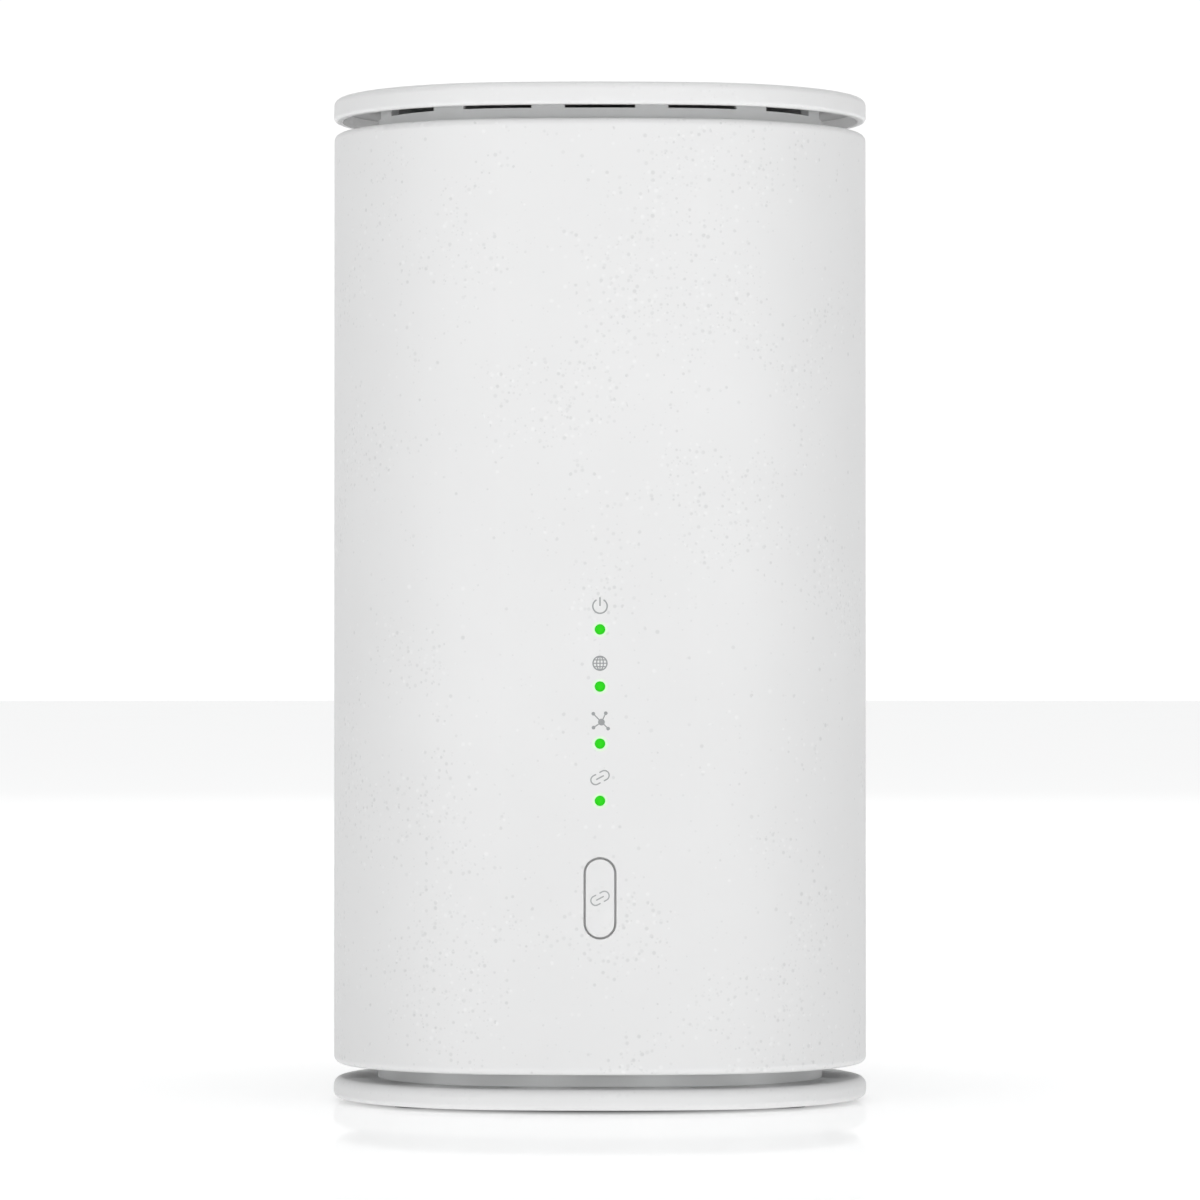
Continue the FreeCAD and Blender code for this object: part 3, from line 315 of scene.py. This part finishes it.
def key_plastic():
    """The key's plastic, with painted light given off from its edge inwards into its groove."""
    g = Graph("key_white_look")
    # Painted light: the key's faces behind its front edge give off a little white light.
    inward = g.span(g.axes()[1], -HALF_DEPTH + 0.3 * MM, -HALF_DEPTH + 0.6 * MM, 0.0, PAINTED_GROOVE_LIGHT)
    return finish_plastic(g, *flecked_plastic(g, 0.30), tone(255), inward)


# ---------------------------------------------------------------- other materials


def moulded(name, dark, light, rough_low, rough_high):
    """Plain moulded plastic or rubber with slow colour drift, fine grain and uneven gloss."""
    g = Graph(name)
    base = g.blend(g.span(g.noise(60, 3.0, 0.55), 0.3, 0.7), dark, light)
    rough = g.span(g.noise(650, 2.0, 0.5), 0.3, 0.7, rough_low, rough_high)
    return g.finish(base, rough, g.bump(g.noise(2600, 3.0, 0.6), 0.3, 0.03 * MM))


def lit_pipe(name):
    """Clear plastic rod whose tip glows green, brightest in the middle."""
    g = Graph(name)
    across = g.span(nearest_lamp(g), 0.0, LAMP_RADIUS, 0.0, 1.0)
    ripple = g.span(g.noise(2600, 2.0, 0.5), 0.3, 0.7, -0.06, 0.06)
    share = g.math("ADD", g.math("POWER", across, 2.2), ripple, clamp=True)
    glow = g.blend(share, tone(50, 240, 18), tone(34, 218, 10))
    return g.finish(
        tone(8, 84, 3), 0.35, Specular_IOR_Level=0.15, Emission_Color=glow, Emission_Strength=LAMP_POWER)


def metal(name, dark, light, rough_low, rough_high, stretch):
    """Bare or plated metal with fine drawn lines along the stretched axis."""
    g = Graph(name)
    lines = g.noise(900, 3.0, 0.6, g.shift((0, 0, 0), stretch))
    tint = g.blend(g.span(g.noise(120, 3.0, 0.6), 0.3, 0.7), dark, light)
    rough = g.span(lines, 0.25, 0.75, rough_low, rough_high)
    return g.finish(tint, rough, g.bump(lines, 0.18, 0.02 * MM), Metallic=1.0)


def circuit_board(name, mask, trace):
    """Solder mask with darker and lighter runs of copper under it and small plated holes."""
    g = Graph(name)
    runs = g.cells(330, g.place)[0]
    steps = g.span(g.noise(240, 1.0, 0.3), 0.47, 0.50, 0.0, 1.0)
    base = g.blend(steps, mask, trace)
    apart, pick = g.cells(260, g.shift((0.002, 0.0, 0.001)))
    hole = g.math("MULTIPLY", g.math("LESS_THAN", apart, 0.09), g.math("LESS_THAN", g.split(pick)[0], 0.5))
    base = g.blend(hole, base, tone(176, 160, 110))
    shade = g.span(runs, 0.0, 0.6, 0.30, 0.42)
    return g.finish(base, shade, g.bump(steps, 0.2, 0.03 * MM), Coat_Weight=0.2)


def package(name):
    """Black moulded chip bodies with a fine matte grain."""
    g = Graph(name)
    grain = g.noise(4200, 2.0, 0.6)
    base = g.blend(g.span(g.noise(180, 2.0, 0.5), 0.35, 0.65), tone(34, 34, 35), tone(48, 48, 50))
    return g.finish(base, g.span(grain, 0.3, 0.7, 0.42, 0.6), g.bump(grain, 0.35, 0.02 * MM))


def capacitor_can(name):
    """Aluminium can with fine streaks along it."""
    g = Graph(name)
    streak = g.noise(700, 2.0, 0.5, g.shift((0, 0, 0), (1.0, 0.05, 1.0)))
    base = g.blend(g.span(streak, 0.3, 0.7), tone(150, 152, 156), tone(186, 188, 192))
    return g.finish(base, g.span(streak, 0.3, 0.7, 0.26, 0.42), g.bump(streak, 0.15, 0.02 * MM), Metallic=1.0)


def flat_cable_white(name):
    """White flat cable with faint grey conductors showing through, 0.5 mm apart."""
    g = Graph(name)
    wave = g.math("SINE", g.math("MULTIPLY", g.axes()[0], 2 * math.pi / (0.5 * MM)))
    base = g.blend(g.span(wave, 0.0, 0.8, 0.0, 0.5), tone(228, 228, 222), tone(176, 176, 170))
    return g.finish(base, g.span(g.noise(900), 0.3, 0.7, 0.34, 0.46), g.bump(wave, 0.1, 0.02 * MM))


def material_set():
    """One material for each slot of the record, and trim_white for the lid and the base."""
    plain = {
        "neck_grey": (tone(228, 229, 229), tone(233, 234, 234), 0.52, 0.62),
        "panel_grey": (tone(158, 160, 161), tone(168, 170, 171), 0.48, 0.6),
        "frame_grey": (tone(92, 93, 95), tone(104, 105, 107), 0.5, 0.62),
        "switch_cream": (tone(214, 208, 190), tone(226, 221, 204), 0.4, 0.5),
        "jack_black": (tone(26, 26, 28), tone(36, 36, 38), 0.38, 0.5),
        "foot_rubber": (tone(54, 55, 57), tone(66, 67, 69), 0.72, 0.86),
        "pad_blue": (tone(134, 152, 178), tone(148, 166, 190), 0.62, 0.74),
        "lead_black": (tone(22, 22, 23), tone(32, 32, 33), 0.4, 0.5),
        "coil_grey": (tone(70, 70, 72), tone(92, 92, 94), 0.55, 0.7),
        "led_yellow": (tone(224, 206, 120), tone(236, 224, 150), 0.3, 0.42),
    }
    made = {slot: moulded(slot + "_look", *look) for slot, look in plain.items()}
    made["shell_white"] = shell_plastic()
    made["trim_white"] = trim_plastic()
    made["key_white"] = key_plastic()
    made["lamp_green"] = lit_pipe("lamp_green_look")
    made["board_green"] = circuit_board("board_green_look", tone(16, 84, 48), tone(26, 104, 60))
    made["antenna_board"] = circuit_board("antenna_board_look", tone(28, 32, 30), tone(40, 45, 42))
    made["chip_black"] = package("chip_black_look")
    made["capacitor_can"] = capacitor_can("capacitor_can_look")
    made["cable_white"] = flat_cable_white("cable_white_look")
    made["contact_gold"] = metal(
        "contact_gold_look", tone(206, 166, 92), tone(226, 190, 120), 0.2, 0.34, (1, 0.1, 1))
    made["steel"] = metal("steel_look", tone(168, 169, 172), tone(190, 191, 194), 0.26, 0.42, (1, 1, 0.2))
    made["shield_tin"] = metal(
        "shield_tin_look", tone(182, 184, 187), tone(200, 202, 205), 0.28, 0.4, (1, 1, 0.1))
    made["aluminium_fins"] = metal(
        "aluminium_fins_look", tone(188, 190, 193), tone(206, 208, 210), 0.3, 0.46, (1, 1, 0.05))
    return made


def dress_nodes(looks):
    """Gives every CAD node the look of its slot. The lid, base and key have fewer flecks than the sleeve."""
    slot_of = {row["node"]: row["material_slot"] for row in frame["record"]["subparts"]}
    for name, node in frame["nodes"].items():
        look = looks["trim_white" if name in ("top_cap", "base_plate") else slot_of[name]]
        for place in node.material_slots:
            place.material = look


# ---------------------------------------------------------------- printed marks

# A mark is a list of strokes in millimetres on the front's plane. Each stroke gives the distance
# from a point to its edge, below zero inside the ink.


def line(start, stop, stroke):
    """A straight stroke with round ends."""
    a, b = Vector(start), Vector(stop)
    along = b - a

    def edge(point):
        share = max(0.0, min(1.0, (point - a).dot(along) / along.length_squared))
        return (point - a - along * share).length - stroke / 2

    return [edge]


def arc(radius, stroke, start=0.0, sweep=360.0, centre=(0.0, 0.0)):
    """An arc from the start angle, anticlockwise from the right, with round ends."""
    middle = Vector(centre)
    turns = [math.radians(angle) for angle in (start, start + sweep)]
    ends = [middle + radius * Vector((math.cos(turn), math.sin(turn))) for turn in turns]

    def edge(point):
        away = point - middle
        turn = (math.degrees(math.atan2(away.y, away.x)) - start) % 360
        if turn <= sweep:
            return abs(away.length - radius) - stroke / 2
        return min((point - end).length for end in ends) - stroke / 2

    return [edge]


def disc(radius, centre):
    """A filled dot."""
    middle = Vector(centre)
    return [lambda point: (point - middle).length - radius]


def oval(across, high, stroke, runs=28):
    """An oval line, drawn as short straight runs."""
    turns = [2 * math.pi * n / runs for n in range(runs + 1)]
    corners = [(across * math.cos(turn), high * math.sin(turn)) for turn in turns]
    return [edge for a, b in zip(corners, corners[1:]) for edge in line(a, b, stroke)]


def power_mark():
    """An open ring with a bar through its gap."""
    return arc(1.5, 0.3, 124, 292) + line((0.0, 0.15), (0.0, 1.75), 0.3)


def globe_mark():
    """A round globe with its middle lines."""
    strokes = arc(1.45, 0.28) + oval(0.7, 1.42, 0.24) + line((0.0, -1.4), (0.0, 1.4), 0.22)
    for level, reach in ((0.0, 1.4), (0.7, 1.22), (-0.7, 1.22)):
        strokes += line((-reach, level), (reach, level), 0.22)
    return strokes


def linked_nodes_mark():
    """Four small nodes joined to a larger one, for the mesh status."""
    hub = (0.3, -0.35)
    strokes = disc(0.7, hub)
    for end in ((-1.4, 1.4), (1.2, 1.5), (-1.35, -1.5), (1.7, -1.7)):
        strokes += line(hub, end, 0.24) + disc(0.38, end)
    return strokes


def pair_mark(lean=28.0, radius=0.98, half_gap=1.05, back=0.55, stroke=0.27):
    """Two open links facing each other with a bar between them, for pairing."""
    along = Vector((math.cos(math.radians(lean)), math.sin(math.radians(lean))))
    across = Vector((-along.y, along.x))
    strokes = line(-0.8 * along, 0.8 * along, stroke)
    for side in (-1, 1):
        centre = side * half_gap * along
        strokes += arc(radius, stroke, lean - 90 * side, 180, tuple(centre))
        for edge in (-1, 1):
            shoulder = centre + edge * radius * across
            strokes += line(shoulder, shoulder - side * back * along, stroke)
    return strokes


def ink_sheet(strokes):
    """The inked area as small faces, cut along its edge. Returns points in mm and rings of their indices."""
    cell = INK_CELL
    count = math.ceil(MARK_REACH / cell)
    depth = {}
    for i in range(-count, count + 1):
        for j in range(-count, count + 1):
            point = Vector((i * cell, j * cell))
            depth[i, j] = min(edge(point) for edge in strokes)
    points, known, faces = [], {}, []

    def corner(key, place):
        if key not in known:
            known[key] = len(points)
            points.append(place)
        return known[key]

    for i in range(-count, count):
        for j in range(-count, count):
            square = [(i, j), (i + 1, j), (i + 1, j + 1), (i, j + 1)]
            outline = []
            for a, b in zip(square, square[1:] + square[:1]):
                if depth[a] < 0:
                    outline.append(corner(a, Vector(a) * cell))
                if (depth[a] < 0) != (depth[b] < 0):
                    low, high = min(a, b), max(a, b)
                    share = depth[low] / (depth[low] - depth[high])
                    share = max(LEAST_SHARE, min(1 - LEAST_SHARE, share))
                    outline.append(corner((low, high), Vector(low).lerp(Vector(high), share) * cell))
            if len(outline) > 2:
                faces.append(outline)
    return points, faces


def print_mark(name, strokes, level, body, look):
    """A mark laid on the crowned front as a very thin closed layer of ink."""
    points, faces = ink_sheet(strokes)
    mesh = bmesh.new()
    below, above = [
        [mesh.verts.new((p.x * MM, front_y(p.x * MM, lift), level + p.y * MM)) for p in points]
        for lift in (PRINT_SEAT, PRINT_SEAT + PRINT_THICK)
    ]
    for outline in faces:
        mesh.faces.new([above[n] for n in outline])
        mesh.faces.new([below[n] for n in reversed(outline)])
    upper = set(above)
    rim = [e for e in mesh.edges if len(e.link_faces) == 1 and e.verts[0] in upper]
    under = dict(zip(above, below))
    for edge in rim:
        a, b = edge.verts
        mesh.faces.new((a, b, under[b], under[a]))
    bmesh.ops.recalc_face_normals(mesh, faces=mesh.faces)
    data = bpy.data.meshes.new(name)
    mesh.to_mesh(data)
    mesh.free()
    data.materials.append(look)
    piece = bpy.data.objects.new(name, data)
    scene.collection.objects.link(piece)
    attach(piece, body)


def make_prints():
    """The four status marks above their lamps, and the paler one on the key."""
    ink = moulded("print_ink_look", tone(150, 152, 153), tone(160, 162, 163), 0.4, 0.5)
    faint = moulded("key_ink_look", tone(164, 166, 167), tone(172, 174, 175), 0.4, 0.5)
    status = (
        ("print_power", power_mark()), ("print_globe", globe_mark()),
        ("print_linked_nodes", linked_nodes_mark()), ("print_pair_status", pair_mark()),
    )
    for (name, strokes), lamp in zip(status, lamp_levels()):
        print_mark(name, strokes, lamp + MARK_RISE, "housing", ink)
    print_mark("print_pair_key", pair_mark(), KEY_LEVEL, "pairing_key", faint)


# ---------------------------------------------------------------- floor, light and camera


def floor_look():
    """White and a little glossy, with light of its own that is 0 under the object and rises away from it, a
    painted shadow round and under the base.
    """
    g = Graph("floor_look")
    matte = g.add("ShaderNodeBsdfDiffuse")
    matte.inputs["Color"].default_value = tone(250)
    gloss = g.add("ShaderNodeBsdfGlossy")
    gloss.inputs["Color"].default_value = tone(255)
    g.feed(gloss.inputs["Roughness"], g.span(g.noise(3.0, 2.0), 0.3, 0.7, 0.03, 0.05))
    both = g.add("ShaderNodeMixShader")
    both.inputs[0].default_value = FLOOR_GLOSS
    g.tree.links.new(matte.outputs[0], both.inputs[1])
    g.tree.links.new(gloss.outputs[0], both.inputs[2])
    reach = g.length(g.place)
    oval_reach = g.length(g.shift((0, 0, 0), (1 / HALF_WIDTH, 1 / HALF_DEPTH, 0)))
    # Painted shadow: the floor's own light is 0 under the base and rises outwards.
    near = g.span(oval_reach, *NEAR_RISE, 0.0, FLOOR_LIGHT)
    middle = g.span(reach, *MIDDLE_RISE, 0.0, FLOOR_GAIN)
    far = g.span(reach, *FAR_RISE, 0.0, FAR_GAIN)
    lit = g.add("ShaderNodeEmission")
    g.feed(lit.inputs["Strength"], g.math("ADD", near, g.math("ADD", middle, far)))
    total = g.add("ShaderNodeAddShader")
    g.tree.links.new(both.outputs[0], total.inputs[0])
    g.tree.links.new(lit.outputs[0], total.inputs[1])
    g.tree.links.new(total.outputs[0], g.output.inputs["Surface"])
    return g.material


def make_floor():
    """A plain white table as a round sheet."""
    mesh = bmesh.new()
    bmesh.ops.create_circle(mesh, cap_ends=True, segments=96, radius=FLOOR_RADIUS)
    data = bpy.data.meshes.new("floor")
    mesh.to_mesh(data)
    mesh.free()
    data.materials.append(floor_look())
    floor = bpy.data.objects.new("floor", data)
    scene.collection.objects.link(floor)


def make_world():
    """A white backdrop all round. It lights the object less brightly than it looks."""
    world = bpy.data.worlds.new("studio")
    scene.world = world
    world.use_nodes = True
    tree = world.node_tree
    tree.nodes.clear()
    path = tree.nodes.new("ShaderNodeLightPath")
    seen = tree.nodes.new("ShaderNodeBackground")
    seen.inputs["Color"].default_value = (1, 1, 1, 1)
    seen.inputs["Strength"].default_value = BACKDROP
    fill = tree.nodes.new("ShaderNodeBackground")
    fill.inputs["Color"].default_value = (0.97, 0.99, 1.0, 1)
    fill.inputs["Strength"].default_value = FILL
    direct = tree.nodes.new("ShaderNodeMath")
    direct.operation = "MAXIMUM"
    tree.links.new(path.outputs["Is Camera Ray"], direct.inputs[0])
    tree.links.new(path.outputs["Is Glossy Ray"], direct.inputs[1])
    mix = tree.nodes.new("ShaderNodeMixShader")
    tree.links.new(direct.outputs[0], mix.inputs[0])
    tree.links.new(fill.outputs[0], mix.inputs[1])
    tree.links.new(seen.outputs[0], mix.inputs[2])
    output = tree.nodes.new("ShaderNodeOutputWorld")
    tree.links.new(mix.outputs[0], output.inputs["Surface"])


def soft_light(name, place, aim, width, height, watts):
    """A rectangular softbox that faces its aim."""
    data = bpy.data.lights.new(name, "AREA")
    data.shape = "RECTANGLE"
    data.size, data.size_y = width, height
    data.energy = watts
    lamp = bpy.data.objects.new(name, data)
    lamp.location = place
    lamp.rotation_euler = (Vector(aim) - Vector(place)).to_track_quat("-Z", "Y").to_euler()
    scene.collection.objects.link(lamp)


def around(turn, distance, height):
    """A point at an angle round the object, from the front towards its right."""
    angle = math.radians(turn)
    return (distance * math.sin(angle), -distance * math.cos(angle), height)


def make_lights():
    """Softboxes in front, above and behind, and three on each side: place, aim, width, height and watts."""
    middle = (0, 0, 0.11)
    soft_light("front_softbox", around(0, 2.0, 0.7), middle, 0.9, 0.9, 4.1)
    soft_light("top_softbox", (0.0, -0.1, 1.7), (0, 0, 0), 1.6, 1.6, 10.0)
    soft_light("rear_softbox", around(180, 2.2, 1.3), middle, 0.8, 0.9, 4.5)
    for side, word in ((-1, "left"), (1, "right")):
        soft_light(word + "_key_softbox", around(side * 36, 2.0, 0.5), middle, 0.7, 1.0, 1.8)
        soft_light(word + "_wide_softbox", around(side * 60, 2.0, 0.5), middle, 0.6, 1.0, 1.2)
        soft_light(word + "_low_strip", around(side * 40, 1.3, 0.09), (0, 0, 0.15), 0.6, 0.10, 1.45)


def make_camera():
    data = bpy.data.cameras.new("camera")
    data.lens = CAMERA_LENS
    data.sensor_width = CAMERA_SENSOR
    camera = bpy.data.objects.new("camera", data)
    camera.location = CAMERA_PLACE
    camera.rotation_euler = (math.radians(90 + CAMERA_TILT), 0, 0)
    scene.collection.objects.link(camera)
    scene.camera = camera


make_camera()
dress_nodes(material_set())
make_prints()
make_floor()
make_world()
make_lights()

bpy.context.view_layer.update()
